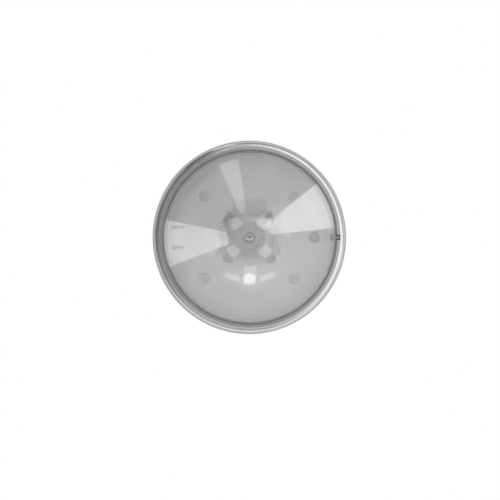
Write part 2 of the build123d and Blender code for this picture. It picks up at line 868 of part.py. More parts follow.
quadrants = [(1, 1), (-1, 1), (-1, -1), (1, -1)]
carrier_step_z = cover_face_z - carrier_foot_t
carrier_inner_round = carrier_round - carrier_wall
with BuildPart() as sensor_carrier:
    with BuildSketch(Plane.XY.offset(cover_face_z)):
        RectangleRounded(carrier_x, carrier_y, carrier_round)
    extrude(amount=-carrier_foot_t)
    with BuildSketch(Plane.XY.offset(carrier_step_z)):
        RectangleRounded(carrier_x, carrier_y, carrier_round)
    extrude(amount=-carrier_slope_t, taper=carrier_slope)
    for arm_plane, half in ((Plane.XZ, carrier_x / 2), (Plane.YZ, carrier_y / 2)):
        with BuildSketch(arm_plane.offset(-arm_width / 2)):
            with BuildLine():
                Polyline(
                    (-half, arm_top_z),
                    (-half, arm_shoulder_z),
                    (-arm_flat, arm_foot_z),
                    (arm_flat, arm_foot_z),
                    (half, arm_shoulder_z),
                    (half, arm_top_z),
                    close=True,
                )
            make_face()
        extrude(amount=arm_width)
    for side_x, side_y in quadrants:
        with BuildSketch(seat_plane(side_x, side_y, -collar_sink)):
            Circle(can_r + collar_wall)
        extrude(amount=can_length - collar_step)
    with BuildSketch(Plane.XY.offset(cover_face_z)):
        RectangleRounded(carrier_x - 2 * carrier_wall, carrier_y - 2 * carrier_wall, carrier_inner_round)
    extrude(amount=-carrier_hollow, mode=Mode.SUBTRACT)
    for side_x, side_y in quadrants:
        with BuildSketch(seat_plane(side_x, side_y, can_flange_t)):
            Circle(can_flange_r + can_play)
        extrude(amount=-can_h, mode=Mode.SUBTRACT)
        with BuildSketch(seat_plane(side_x, side_y, 0)):
            Circle(can_r + can_play)
        extrude(amount=3 * can_h, mode=Mode.SUBTRACT)
    with BuildSketch(Plane.XY.offset(sensor_board_top_z)):
        Circle(guide_r + can_play)
    extrude(amount=arm_foot_z - sensor_board_top_z, mode=Mode.SUBTRACT)
    with BuildSketch(Plane.XY.offset(guide_recess_z)):
        Circle(guide_recess_r)
    extrude(amount=arm_foot_z - guide_recess_z, mode=Mode.SUBTRACT)
    with BuildSketch(Plane.XY.offset(cap_top_z)):
        with GridLocations(2 * cap_x, 2 * cap_y, 2, 2):
            Circle(cap_r)
    extrude(amount=2 * (cap_foot_z - cap_top_z), mode=Mode.SUBTRACT)
save(sensor_carrier, "sensor_carrier")

# Thin shade plate round the foot of the carrier, with a tongue towards -Y
with BuildPart() as carrier_shade:
    with BuildSketch(Plane.XY.offset(cover_face_z)):
        with Locations((shade_tongue_x, -shade_tongue_reach / 2)):
            Rectangle(shade_tongue_width, shade_tongue_reach)
        with Locations((0, shade_side_y)):
            Rectangle(2 * shade_side_reach, shade_side_width)
        RectangleRounded(carrier_x, carrier_y, carrier_round, mode=Mode.SUBTRACT)
    extrude(amount=-shade_t)
save(carrier_shade, "carrier_shade")

# Dark caps in the corners of the carrier, hollowed round the cans
with BuildPart() as carrier_caps:
    with BuildSketch(Plane.XY.offset(cap_top_z)):
        with GridLocations(2 * cap_x, 2 * cap_y, 2, 2):
            Circle(cap_r)
    extrude(amount=cap_foot_z - cap_top_z)
    fillet(carrier_caps.edges().group_by(Axis.Z)[0], cap_round)
    for side_x, side_y in quadrants:
        with BuildSketch(seat_plane(side_x, side_y, can_flange_t)):
            Circle(can_flange_r + can_play)
        extrude(amount=-can_h, mode=Mode.SUBTRACT)
        with BuildSketch(seat_plane(side_x, side_y, 0)):
            Circle(can_r + can_play)
        extrude(amount=3 * can_h, mode=Mode.SUBTRACT)
save(carrier_caps, "carrier_caps")

# Four pyroelectric sensors in metal cans, each with a recess for its window
for number, (side_x, side_y) in enumerate(quadrants, start=1):
    with BuildPart() as pir_sensor:
        with BuildSketch(seat_plane(side_x, side_y, 0)):
            Circle(can_flange_r)
        extrude(amount=can_flange_t)
        with BuildSketch(seat_plane(side_x, side_y, can_flange_t)):
            Circle(can_r)
        can = extrude(amount=can_h)
        rim = can.faces().filter_by(GeomType.PLANE).sort_by(Axis.Z)[0].edges()
        fillet(rim, can_round)
        with BuildSketch(seat_plane(side_x, side_y, can_length)):
            Rectangle(window_x, window_y)
        extrude(amount=-window_pocket, mode=Mode.SUBTRACT)
    save(pir_sensor, f"pir_sensor_{number}")

with BuildPart() as sensor_windows:
    for side_x, side_y in quadrants:
        with BuildSketch(seat_plane(side_x, side_y, can_length - window_pocket)):
            Rectangle(window_x, window_y)
        extrude(amount=window_t)
save(sensor_windows, "sensor_windows")

# Sensor board in the carrier's foot, with the light sensor and the sensors' leads
sensor_board_foot_z = sensor_board_top_z - sensor_board_t
with BuildPart() as sensor_board:
    with BuildSketch(Plane.XY.offset(sensor_board_foot_z)):
        RectangleRounded(carrier_x - sensor_board_inset, carrier_y - sensor_board_inset, 3)
    extrude(amount=sensor_board_t)
save(sensor_board, "sensor_board")

with BuildPart() as sensor_leads:
    for side_x, side_y in quadrants:
        with BuildSketch(seat_plane(side_x, side_y, 0)):
            with PolarLocations(lead_circle_r, 3, start_angle=90):
                Circle(lead_r)
        extrude(amount=-lead_length)
    split(bisect_by=Plane.XY.offset(sensor_board_foot_z), keep=Keep.BOTTOM)
save(sensor_leads, "sensor_leads")

light_sensor_width = 2.0
light_sensor_height = 0.8
with BuildPart() as light_sensor:
    with BuildSketch(Plane.XY.offset(sensor_board_foot_z)):
        Rectangle(light_sensor_width, light_sensor_width)
    extrude(amount=-light_sensor_height)
save(light_sensor, "light_sensor")

# Clear sleeve through the middle of the carrier, in front of the light sensor
guide_top_edge_z = sensor_board_foot_z - guide_gap
with BuildPart() as light_guide:
    with BuildSketch(Plane.XY.offset(guide_foot_z)):
        Circle(guide_r)
        Circle(guide_bore_r, mode=Mode.SUBTRACT)
    extrude(amount=guide_top_edge_z - guide_foot_z)
    fillet(light_guide.edges().group_by(Axis.Z)[0], guide_round)
save(light_guide, "light_guide")

# Plug strip that joins the two boards
header_length = 12.9
header_width = 2.5
header_height = 2.4
header_pin = 0.6
header_pin_play = 0.04
with BuildPart() as link_header:
    with BuildSketch(Plane.XY.offset(sensor_board_top_z)):
        with Locations((0, header_y)):
            Rectangle(header_length, header_width)
        with Locations((0, header_y)):
            with GridLocations(header_pitch, 0, header_pins, 1):
                Rectangle(header_pin + header_pin_play, header_pin + header_pin_play, mode=Mode.SUBTRACT)
    extrude(amount=header_height)
save(link_header, "link_header")

with BuildPart() as link_pins:
    with BuildSketch(Plane.XY.offset(sensor_board_top_z)):
        with Locations((0, header_y)):
            with GridLocations(header_pitch, 0, header_pins, 1):
                Rectangle(header_pin, header_pin)
    extrude(amount=board_foot_z - sensor_board_top_z)
save(link_pins, "link_pins")
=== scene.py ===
import json
from math import cos, pi, radians, sin, tan

import bmesh
import bpy
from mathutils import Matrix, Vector


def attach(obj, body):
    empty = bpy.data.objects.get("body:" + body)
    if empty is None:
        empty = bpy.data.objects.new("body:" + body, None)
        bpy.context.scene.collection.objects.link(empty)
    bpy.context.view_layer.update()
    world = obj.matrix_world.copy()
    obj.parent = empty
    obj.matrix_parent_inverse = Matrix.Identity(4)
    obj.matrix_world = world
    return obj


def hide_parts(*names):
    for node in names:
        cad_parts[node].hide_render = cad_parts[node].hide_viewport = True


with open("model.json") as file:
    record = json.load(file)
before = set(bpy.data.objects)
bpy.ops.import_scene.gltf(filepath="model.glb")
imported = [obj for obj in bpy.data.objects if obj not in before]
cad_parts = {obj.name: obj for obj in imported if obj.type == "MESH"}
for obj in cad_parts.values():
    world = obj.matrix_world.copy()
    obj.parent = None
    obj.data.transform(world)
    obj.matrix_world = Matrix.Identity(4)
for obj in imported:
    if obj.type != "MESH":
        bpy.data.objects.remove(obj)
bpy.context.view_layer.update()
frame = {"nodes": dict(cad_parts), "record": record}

nodes = frame["nodes"]
scene = bpy.context.scene
mm = 0.001
scene.view_settings.view_transform = "Standard"
print("frame loaded,", len(nodes), "nodes")


def addNode(tree, kind, inputs=None, **settings):
    node = tree.nodes.new(kind)
    for key, value in settings.items():
        setattr(node, key, value)
    for key, value in (inputs or {}).items():
        if isinstance(value, bpy.types.NodeSocket):
            tree.links.new(value, node.inputs[key])
        else:
            node.inputs[key].default_value = value
    return node


# the next functions add one node each and give its output
def calc(tree, operation, *values):
    return addNode(tree, "ShaderNodeMath", dict(enumerate(values)), operation=operation).outputs[0]


def vector(tree, operation, inputs, output="Vector"):
    return addNode(tree, "ShaderNodeVectorMath", inputs, operation=operation).outputs[output]


def split(tree, value):
    return addNode(tree, "ShaderNodeSeparateXYZ", {0: value}).outputs


def choose(tree, factor, first, second):
    return addNode(tree, "ShaderNodeMix", {0: factor, 2: first, 3: second}, data_type="FLOAT").outputs[0]


def chooseColour(tree, factor, first, second):
    return addNode(tree, "ShaderNodeMix", {0: factor, 6: first, 7: second}, data_type="RGBA").outputs[2]


def spread(tree, value, low, high, fromLow=0.0, fromHigh=1.0, smooth=False):
    return addNode(tree, "ShaderNodeMapRange", {
        "Value": value, "From Min": fromLow, "From Max": fromHigh, "To Min": low, "To Max": high,
    }, interpolation_type="SMOOTHSTEP" if smooth else "LINEAR").outputs[0]


def ramp(tree, factor, stops):
    node = addNode(tree, "ShaderNodeValToRGB", {"Fac": factor})
    bar = node.color_ramp.elements
    for element, (place, tone) in zip(bar, (stops[0], stops[-1])):
        element.position = place
        element.color = (*tone, 1.0)
    for place, tone in stops[1:-1]:
        bar.new(place).color = (*tone, 1.0)
    return node.outputs["Color"]


def noise(tree, place, scale, detail=2.0, roughness=0.5, stretch=(1, 1, 1)):
    if stretch != (1, 1, 1):
        place = addNode(tree, "ShaderNodeMapping", {"Vector": place, "Scale": stretch}).outputs[0]
    return addNode(tree, "ShaderNodeTexNoise", {
        "Vector": place, "Scale": scale, "Detail": detail, "Roughness": roughness}).outputs["Fac"]


def bump(tree, height, distance):
    return addNode(tree, "ShaderNodeBump", {
        "Height": height, "Distance": distance, "Strength": 1.0}).outputs["Normal"]


# most of a noise lies between these two values
noiseLow, noiseHigh = 0.3, 0.7


def vary(tree, cloud, low, high):
    return spread(tree, cloud, low, high, noiseLow, noiseHigh)


def tint(tree, cloud, dark, light, low=noiseLow, high=noiseHigh):
    return ramp(tree, cloud, [(low, dark), (high, light)])


def startMaterial(name, **constants):
    material = bpy.data.materials.new(name)
    material.use_nodes = True
    tree = material.node_tree
    shader = tree.nodes["Principled BSDF"]
    for key, value in constants.items():
        shader.inputs[key.replace("_", " ")].default_value = value
    place = tree.nodes.new("ShaderNodeTexCoord").outputs["Object"]
    return material, tree, shader, place


def wire(tree, shader, **links):
    for key, socket in links.items():
        tree.links.new(socket, shader.inputs[key.replace("_", " ")])


def shade(tone, share):
    return tuple(min(1.0, channel * share) for channel in tone)


def seenDirectly(tree):
    ray = tree.nodes.new("ShaderNodeLightPath").outputs
    return calc(tree, "MAXIMUM", ray["Is Camera Ray"], ray["Is Transmission Ray"])


studio = {
    "lensLength": 135.0, "cameraPlace": (0.00034, 0.00715, -1.0691), "clip": (0.05, 30.0),
    "floorZ": -1.35, "floorRadius": 1.1, "floorSides": 96, "floorTone": (0.80, 0.80, 0.80),
    "fillBelow": 0.5, "fillAbove": 0.85, "fillEdge": 0.15, "glowShare": 0.4, "backdropStrength": 1.0,
    "boxDistance": 1.2,
}
# what glossy rays see of the world: elevation and strength, from straight down to straight up
shineLevels = ((-90, 0.5), (-34, 0.5), (-20, 1.0), (-8, 1.0), (-5, 0.6), (5, 0.6), (9, 1.1), (35, 1.25),
               (55, 1.1), (90, 0.8))
# soft glows in the world: azimuth and its half width, soft edge, lowest and highest elevation, soft edge,
# strength. Azimuth 0 is +X, 90 is +Y.
glows = {
    "backGlow": (86.0, 72.0, 40.0, -36.0, -7.0, 6.0, 1.8),
    "rightGlow": (335.0, 60.0, 45.0, -54.0, -37.0, 5.0, 2.7),
    "lowGlow": (88.0, 48.0, 25.0, -54.0, -37.0, 5.0, 0.55),
    "rimGlow": (8.0, 130.0, 30.0, 9.0, 30.0, 4.0, 0.9),
    "sideGlowRight": (351.0, 27.0, 6.0, -6.0, 6.0, 3.0, 1.0),
    "sideGlowLeft": (189.0, 27.0, 6.0, -6.0, 6.0, 3.0, 0.8),
    "leftShade": (205.0, 52.0, 30.0, -35.0, -20.0, 4.0, -0.8),
}
# upright panels: azimuth, width in degrees, lowest and highest elevation, radiance
softboxes = {
    "keyBoxRight": (337.2, 32.4, -40.0, -8.0, 4.6),
    "keyBoxLeft": (176.3, 32.0, -35.0, -8.0, 3.8),
    "narrowBoxFront": (254.8, 15.0, -27.0, -8.0, 2.3),
}


def makeCamera():
    camera = bpy.data.objects.new("faceCamera", bpy.data.cameras.new("faceCamera"))
    camera.data.lens = studio["lensLength"]
    camera.data.clip_start, camera.data.clip_end = studio["clip"]
    camera.location = studio["cameraPlace"]
    camera.rotation_euler = (pi, 0.0, 0.0)  # looks straight up, +X to the right
    scene.collection.objects.link(camera)
    scene.camera = camera


def sectorGlow(tree, way, height, azimuth, half, sideEdge, low, high, rimEdge, strength):
    a = radians(azimuth)
    flat = vector(tree, "NORMALIZE", {0: vector(tree, "MULTIPLY", {0: way, 1: (1.0, 1.0, 0.0)})})
    near = vector(tree, "DOT_PRODUCT", {0: flat, 1: (cos(a), sin(a), 0.0)}, "Value")
    outer, inner = cos(radians(min(180.0, half + sideEdge))), cos(radians(half - sideEdge))
    across = spread(tree, near, 0.0, strength, outer, inner, smooth=True)
    above = spread(tree, height, 0.0, 1.0, sin(radians(low - rimEdge)), sin(radians(low + rimEdge)),
                   smooth=True)
    below = spread(tree, height, 1.0, 0.0, sin(radians(high - rimEdge)), sin(radians(high + rimEdge)),
                   smooth=True)
    return calc(tree, "MULTIPLY", across, calc(tree, "MULTIPLY", above, below))


def makeWorld():
    # plain white to camera and transmission rays; glossy rays see the levels and glows, the rest a dimmer fill
    world = bpy.data.worlds.new("paleStudio")
    scene.world = world
    world.use_nodes = True
    tree = world.node_tree
    back = tree.nodes["Background"]
    back.inputs["Color"].default_value = (1.0, 1.0, 1.0, 1.0)
    ray = tree.nodes.new("ShaderNodeLightPath").outputs
    way = tree.nodes.new("ShaderNodeTexCoord").outputs["Generated"]
    height = split(tree, way)["Z"]
    glow = 0.0
    for settings in glows.values():
        glow = calc(tree, "ADD", glow, sectorGlow(tree, way, height, *settings))
    levels = ramp(tree, spread(tree, height, 0.0, 1.0, -1.0, 1.0), [
        ((sin(radians(angle)) + 1) / 2, (level, level, level)) for angle, level in shineLevels])
    shine = calc(tree, "ADD", levels, glow)
    level = spread(tree, height, studio["fillBelow"], studio["fillAbove"], 0.0, studio["fillEdge"])
    fill = calc(tree, "ADD", calc(tree, "MULTIPLY", glow, studio["glowShare"]), level)
    strength = choose(tree, ray["Is Glossy Ray"], fill, shine)
    strength = choose(tree, seenDirectly(tree), strength, studio["backdropStrength"])
    tree.links.new(strength, back.inputs["Strength"])


def makeFloor():
    # round plate below the part: white to camera and transmission rays, pale paint to the rest
    turns = [2 * pi * k / studio["floorSides"] for k in range(studio["floorSides"])]
    radius = studio["floorRadius"]
    mesh = bpy.data.meshes.new("floor")
    mesh.from_pydata([(radius * cos(turn), radius * sin(turn), studio["floorZ"]) for turn in turns],
                     [], [tuple(range(len(turns)))])
    floor = bpy.data.objects.new("floor", mesh)
    scene.collection.objects.link(floor)
    material, tree, shader, place = startMaterial("floorPaint", Roughness=0.8)
    tone = studio["floorTone"]
    wire(tree, shader, Base_Color=tint(tree, noise(tree, place, 2.0), shade(tone, 0.99), tone))
    white = addNode(tree, "ShaderNodeEmission", {"Strength": studio["backdropStrength"]}).outputs[0]
    mix = addNode(tree, "ShaderNodeMixShader", {
        0: seenDirectly(tree), 1: shader.outputs[0], 2: white}).outputs[0]
    tree.links.new(mix, tree.nodes["Material Output"].inputs["Surface"])
    mesh.materials.append(material)


def makeSoftbox(name, azimuth, width, low, high, radiance):
    distance = studio["boxDistance"]
    lamp = bpy.data.lights.new(name, "AREA")
    lamp.shape = "RECTANGLE"
    bottom, top = distance * tan(radians(low)), distance * tan(radians(high))
    lamp.size, lamp.size_y = 2 * distance * tan(radians(width / 2)), top - bottom
    lamp.energy = radiance * pi * lamp.size * lamp.size_y
    box = bpy.data.objects.new(name, lamp)
    a = radians(azimuth)
    away = Vector((cos(a), sin(a), 0.0))
    box.location = away * distance + Vector((0.0, 0.0, (bottom + top) / 2))
    box.rotation_mode = "QUATERNION"
    box.rotation_quaternion = (-away).to_track_quat("-Z", "Y")
    box.visible_camera = False
    scene.collection.objects.link(box)
    return box


makeCamera()
makeWorld()
makeFloor()
boxes = {name: makeSoftbox(name, *settings) for name, settings in softboxes.items()}
print("camera, floor and", len(softboxes), "softboxes placed")


def axisDistance(tree, place):
    return vector(tree, "LENGTH", {0: vector(tree, "MULTIPLY", {0: place, 1: (1.0, 1.0, 0.0)})}, "Value")


# scales of the noises, and depths of the reliefs in metres
textures = {"cloud": 55.0, "housingCloud": 60.0, "patches": 240.0, "grain": 2600.0, "grainDepth": 0.00002,
            "flakes": 5200.0, "lacquerPatches": 150.0, "orangePeel": 420.0, "orangePeelDepth": 0.000008,
            "streaks": 900.0, "streakDepth": 0.000006, "lensCloud": 40.0}


def mouldedPlastic(name, tone, rough=(0.42, 0.55), grain=textures["grain"], relief=textures["grainDepth"],
                   mottle=0.04, rim=None):
    # rim: painted shade; the radii in mm between which the tone falls, and the share of it that is left
    material, tree, shader, place = startMaterial(name)
    cloud = noise(tree, place, textures["cloud"], detail=4.0, roughness=0.55)
    colour = tint(tree, cloud, shade(tone, 1 - mottle), shade(tone, 1 + mottle / 2))
    if rim:
        start, end, left = rim
        share = spread(tree, axisDistance(tree, place), 1.0, left, start * mm, end * mm)
        colour = vector(tree, "SCALE", {0: colour, "Scale": share})
    wire(tree, shader, Base_Color=colour,
         Roughness=vary(tree, noise(tree, place, textures["patches"], detail=3.0), *rough),
         Normal=bump(tree, noise(tree, place, grain), relief))
    return material


def housingFinish():
    # light grey matt plastic; the band in the flange is lacquered like the rings
    sizes = {"bandRadius": 50.5, "grey": (0.82, 0.825, 0.79), "lacquer": (0.26, 0.26, 0.258),
             "matt": (0.42, 0.56), "gloss": 0.14, "metallic": 0.9, "relief": 0.000015}
    material, tree, shader, place = startMaterial("housingPlastic", IOR=1.5)
    band = calc(tree, "GREATER_THAN", axisDistance(tree, place), sizes["bandRadius"] * mm)
    cloud = noise(tree, place, textures["housingCloud"], detail=4.0, roughness=0.55)
    grey = tint(tree, cloud, shade(sizes["grey"], 0.96), sizes["grey"])
    lacquer = tint(tree, cloud, shade(sizes["lacquer"], 0.95), sizes["lacquer"])
    matt = vary(tree, noise(tree, place, textures["patches"], detail=3.0), *sizes["matt"])
    wire(tree, shader, Base_Color=chooseColour(tree, band, grey, lacquer),
         Roughness=choose(tree, band, matt, sizes["gloss"]),
         Metallic=calc(tree, "MULTIPLY", band, sizes["metallic"]),
         Normal=bump(tree, noise(tree, place, textures["grain"]), sizes["relief"]))
    return material


def ringLacquer(name, tone, edgeTone=None, edgeZ=-4.1, rough=(0.11, 0.17)):
    # the edge tone, if any, is that of the thin lip below edgeZ, in mm
    material, tree, shader, place = startMaterial(name, Metallic=0.9, IOR=1.5)
    flakes = noise(tree, place, textures["flakes"])
    colour = tint(tree, flakes, shade(tone, 0.88), shade(tone, 1.1), low=0.35, high=0.65)
    if edgeTone:
        below = calc(tree, "LESS_THAN", split(tree, place)["Z"], edgeZ * mm)
        colour = chooseColour(tree, below, colour, (*edgeTone, 1.0))
    wire(tree, shader, Base_Color=colour,
         Roughness=vary(tree, noise(tree, place, textures["lacquerPatches"], detail=3.0), *rough),
         Normal=bump(tree, noise(tree, place, textures["orangePeel"], detail=3.0),
                     textures["orangePeelDepth"]))
    return material


def platedMetal(name, tone, rough=(0.22, 0.34), stretch=(1, 1, 14), streak=textures["streaks"]):
    material, tree, shader, place = startMaterial(name, Metallic=1.0)
    lines = noise(tree, place, streak, detail=3.0, roughness=0.6, stretch=stretch)
    wire(tree, shader, Base_Color=tint(tree, lines, shade(tone, 0.9), shade(tone, 1.06)),
         Roughness=vary(tree, lines, *rough), Normal=bump(tree, lines, textures["streakDepth"]))
    return material


def boardFinish():
    # green solder mask, with the joints of a brick pattern for its tracks
    sizes = {"patches": 300.0, "rough": (0.3, 0.42), "relief": 0.00002}
    material, tree, shader, place = startMaterial("solderMask", IOR=1.5, Coat_Weight=0.5, Coat_Roughness=0.1)
    tracks = addNode(tree, "ShaderNodeTexBrick", {
        "Vector": place, "Scale": 260.0, "Mortar Size": 0.035, "Mortar Smooth": 0.2,
        "Color1": (0.02, 0.12, 0.06, 1), "Color2": (0.018, 0.105, 0.052, 1),
        "Mortar": (0.035, 0.19, 0.09, 1)})
    wire(tree, shader, Base_Color=tracks.outputs["Color"],
         Roughness=vary(tree, noise(tree, place, sizes["patches"]), *sizes["rough"]),
         Normal=bump(tree, tracks.outputs["Fac"], sizes["relief"]))
    return material


def diffuserFinish():
    # painted glow over its diode; the strips and the plate round it have a share of that painted light
    sizes = {
        "halfWidth": 5.0, "start": 15.0, "glowStart": 21.47, "strips": 0.35, "plate": 0.15,
        "glows": ((0.0, (0.0, 0.0, 0.0)), (0.5, (0.45, 0.45, 0.445)), (1.0, (0.95, 0.95, 0.94))),
        "dark": (0.86, 0.86, 0.85), "light": (0.90, 0.90, 0.89), "cloud": 160.0,
        "patches": 400.0, "rough": (0.35, 0.45), "grain": 3000.0, "relief": 0.00001,
    }
    material, tree, shader, place = startMaterial("diffuserWhite", IOR=1.5, Emission_Strength=0.72)
    axes = split(tree, place)
    middle = calc(tree, "LESS_THAN", calc(tree, "ABSOLUTE", axes["X"]), sizes["halfWidth"] * mm)
    core = calc(tree, "MULTIPLY", middle, calc(tree, "GREATER_THAN", axes["Y"], sizes["glowStart"] * mm))
    # painted light: the strips and the plate beyond 15 mm glow with a share of the diode's glow
    paintedGlowShare = calc(tree, "MULTIPLY", calc(tree, "GREATER_THAN", axes["Y"], sizes["start"] * mm),
                 spread(tree, middle, sizes["strips"], sizes["plate"]))
    cloud = noise(tree, place, sizes["cloud"], detail=3.0)
    wire(tree, shader, Base_Color=tint(tree, cloud, sizes["dark"], sizes["light"]),
         Emission_Color=ramp(tree, calc(tree, "MAXIMUM", core, paintedGlowShare), sizes["glows"]),
         Roughness=vary(tree, noise(tree, place, sizes["patches"]), *sizes["rough"]),
         Normal=bump(tree, noise(tree, place, sizes["grain"]), sizes["relief"]))
    return material


finishes = {
    "ring_plastic": ringLacquer("ringLacquer", (0.33, 0.33, 0.327)),
    "skirt_plastic": ringLacquer("skirtLacquer", (0.18, 0.18, 0.178), edgeTone=(0.50, 0.50, 0.495)),
    "housing_plastic": housingFinish(),
    # painted shade: the cover darkens between 36 and 45 mm from the axis, towards its rim
    "cover_plastic": mouldedPlastic("coverPlastic", (0.74, 0.74, 0.73), rim=(36.0, 45.0, 0.84)),
    # painted shade: the carrier falls to half its tone between 3.6 and 2.9 mm from the axis, in the recess
    # round the light guide
    "carrier_plastic": mouldedPlastic("carrierPlastic", (0.42, 0.42, 0.415), rim=(3.6, 2.9, 0.5)),
    "shade_plastic": mouldedPlastic("shadePlastic", (0.52, 0.52, 0.515)),
    "cap_black": mouldedPlastic("capBlack", (0.05, 0.05, 0.05)),
    "smoke_plastic": mouldedPlastic("smokeWindow", (0.07, 0.07, 0.075), rough=(0.12, 0.2), grain=3000.0,
                                    relief=0.000004),
    "key_plastic": mouldedPlastic("keyPlastic", (0.72, 0.72, 0.70)),
    "board_laminate": boardFinish(),
    "chip_body": mouldedPlastic("chipBody", (0.025, 0.025, 0.027), rough=(0.5, 0.65), grain=4000.0,
                                relief=0.00001),
    "chip_ceramic": mouldedPlastic("chipCeramic", (0.42, 0.33, 0.22), rough=(0.4, 0.55), grain=5000.0,
                                   relief=0.00001),
    "can_metal": platedMetal("nickelCan", (0.60, 0.59, 0.57), rough=(0.5, 0.6)),
    "can_aluminium": platedMetal("aluminiumCan", (0.86, 0.86, 0.87), rough=(0.15, 0.26)),
    "ferrite": mouldedPlastic("ferrite", (0.05, 0.05, 0.055), rough=(0.55, 0.7), grain=3000.0),
    "filter_pale": mouldedPlastic("filterGlass", (0.88, 0.87, 0.87), rough=(0.2, 0.3), grain=3000.0,
                                  relief=0.000004),
    "diffuser_white": diffuserFinish(),
    "led_body": mouldedPlastic("ledResin", (0.82, 0.80, 0.68), rough=(0.15, 0.25)),
    "pin_metal": platedMetal("tinnedPin", (0.75, 0.74, 0.71)),
    "clamp_metal": platedMetal("clampBrass", (0.78, 0.58, 0.27)),
    "screw_steel": platedMetal("zincScrew", (0.40, 0.40, 0.405), rough=(0.35, 0.48), stretch=(1, 1, 1),
                               streak=2500.0),
    "terminal_black": mouldedPlastic("terminalBlack", (0.013, 0.0135, 0.011), rough=(0.35, 0.5)),
    "terminal_red": mouldedPlastic("terminalRed", (0.24, 0.006, 0.008), rough=(0.35, 0.5)),
}
slotOf = {part["node"]: part["material_slot"] for part in frame["record"]["subparts"]}
for name, cadNode in nodes.items():
    finish = finishes.get(slotOf[name])
    if finish is None:
        continue
    if cadNode.data.materials:
        cadNode.data.materials[0] = finish
    else:
        cadNode.data.materials.append(finish)
print("materials on", len(nodes), "nodes")


lensSizes = {
    "tipZ": -41.7, "tipRadius": 26.0, "tipAngle": 33.0, "shoulderRadius": 90.0, "coneAngle": 38.8,
    "coneEnd": 36.0, "neck": 48.65, "flareEnd": 26.0, "wall": 1.2, "flangeRadius": 51.3, "flangeZ": -9.35,
    "ringMouth": 48.95, "ringMouthZ": -12.4, "ringSlope": 23.5, "seatRise": 1.4, "neckPlay": 0.2,
    "tipSteps": 24, "shoulderSteps": 10, "coneSteps": 10, "flareSteps": 34, "innerConeSteps": 8,
    "innerFlareSteps": 16, "segments": 512, "weld": 0.002, "patchStep": 0.36, "patchReach": 27.9,
    "cellWidth": 6.5, "rowStep": 5.63, "domeHeight": 0.23, "cellReach": 25.5,
}
tabSizes = {"start": 48.7, "end": 50.95, "half": 0.9, "rise": 1.38, "edge": 0.12, "lipRadius": 50.15,
            "lipZ": -12.15}
# the reach stored off the inner face, and the limits above which a point or face is on that face or on a dome
offReach = -1.0
limits = {"innerPoint": -0.5, "innerFace": -0.2, "domeFace": 0.6}


def arcRun(start, radius, fromAngle, toAngle, steps):
    # points on an arc whose slope goes from one angle to another
    r, z = start
    points = []
    for step in range(1, steps + 1):
        angle = radians(fromAngle + (toAngle - fromAngle) * step / steps)
        points.append((r + radius * (sin(angle) - sin(radians(fromAngle))),
                       z + radius * (cos(radians(fromAngle)) - cos(angle))))
    return points


def lineRun(start, end, steps):
    return [(start[0] + (end[0] - start[0]) * k / steps, start[1] + (end[1] - start[1]) * k / steps)
            for k in range(1, steps + 1)]


def ringSlopeZ(r):
    # height of the cover ring's cone at a radius
    s = lensSizes
    return s["ringMouthZ"] + (r - s["ringMouth"]) * tan(radians(s["ringSlope"]))


def lensOutline():
    # stations (radius, height, reach) from the outer tip round the flange to the inner tip; reach is the way
    # along the inner face from its tip
    s = lensSizes
    tipAngle, coneAngle = radians(s["tipAngle"]), radians(s["coneAngle"])
    flareRadius = (s["neck"] - s["coneEnd"]) / (sin(coneAngle) - sin(radians(s["flareEnd"])))
    outer = [(0.0, s["tipZ"])]
    outer += arcRun(outer[-1], s["tipRadius"], 0.0, s["tipAngle"], s["tipSteps"])
    outer += arcRun(outer[-1], s["shoulderRadius"], s["tipAngle"], s["coneAngle"], s["shoulderSteps"])
    coneEnd = (s["coneEnd"], outer[-1][1] + (s["coneEnd"] - outer[-1][0]) * tan(coneAngle))
    outer += lineRun(outer[-1], coneEnd, s["coneSteps"])
    outer += arcRun(outer[-1], -flareRadius, s["coneAngle"], s["flareEnd"], s["flareSteps"])
    innerNeck = s["neck"] - s["wall"]
    seat = [(r, ringSlopeZ(r) + s["seatRise"]) for r in (s["neck"], s["flangeRadius"])]
    rim = [*seat, (s["flangeRadius"], s["flangeZ"]), (innerNeck, s["flangeZ"])]

    # inner face: the same line sunk by the wall, from its tip outwards, in even steps inside the patch
    tipInner = s["tipRadius"] - s["wall"]
    shoulderInner = s["shoulderRadius"] - s["wall"]
    tipArc = tipInner * tipAngle
    shoulderArc = shoulderInner * radians(s["coneAngle"] - s["tipAngle"])
    tipEnd = (tipInner * sin(tipAngle), s["tipZ"] + s["wall"] + tipInner * (1 - cos(tipAngle)))
    shoulderEnd = arcRun(tipEnd, shoulderInner, s["tipAngle"], s["coneAngle"], 1)[-1]

    def innerPoint(reach):
        if reach < tipArc:
            angle = reach / tipInner
            return tipInner * sin(angle), s["tipZ"] + s["wall"] + tipInner * (1 - cos(angle))
        if reach < tipArc + shoulderArc:
            angle = s["tipAngle"] + (reach - tipArc) / shoulderInner * 180 / pi
            return arcRun(tipEnd, shoulderInner, s["tipAngle"], angle, 1)[-1]
        beyond = reach - tipArc - shoulderArc
        return shoulderEnd[0] + beyond * cos(coneAngle), shoulderEnd[1] + beyond * sin(coneAngle)

    count = round(s["patchReach"] / s["patchStep"])
    ways = [s["patchReach"] * k / count for k in range(count + 1)]
    inner = [(*innerPoint(way), way) for way in ways]
    coneTop = (coneEnd[0] - s["wall"] * sin(coneAngle), coneEnd[1] + s["wall"] * cos(coneAngle))
    beyondPatch = lineRun(inner[-1][:2], coneTop, s["innerConeSteps"])
    flare = arcRun(coneTop, -flareRadius - s["wall"], s["coneAngle"], s["flareEnd"], s["innerFlareSteps"])
    beyondPatch += [(r, z) for r, z in flare if r < innerNeck - s["neckPlay"]]
    inner += [(r, z, s["patchReach"] + 1.0 + k) for k, (r, z) in enumerate(beyondPatch)]
    return [(r, z, offReach) for r, z in outer + rim] + inner[::-1]


